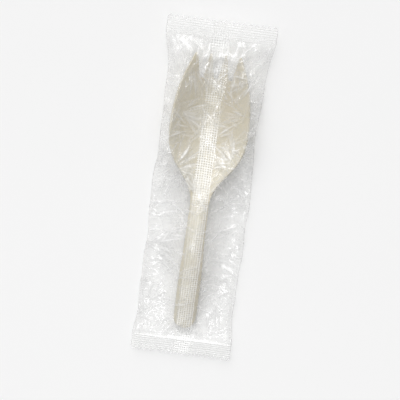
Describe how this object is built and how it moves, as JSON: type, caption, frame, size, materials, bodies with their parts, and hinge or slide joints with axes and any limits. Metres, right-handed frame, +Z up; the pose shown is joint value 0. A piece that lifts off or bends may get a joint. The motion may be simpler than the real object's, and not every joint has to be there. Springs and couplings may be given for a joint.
{
  "type": "wrapped plastic spork pack",
  "caption": "Disposable plastic spork sealed in its own clear film wrapper, with crimped ends and a lengthways fin, lying with its bowl up.",
  "frame": {"origin": "on the resting surface, under the middle of the wrapper", "axes": "+Y along the length towards the tines, +Z up out of the bowl, +X across"},
  "size_m": [0.054, 0.18, 0.0123],
  "materials": {
    "spork": "satin",
    "film": "clear glossy film"
  },
  "bodies": {
    "root": {"spork": "spork", "film_wrapper": "film"}
  },
  "joints": []
}
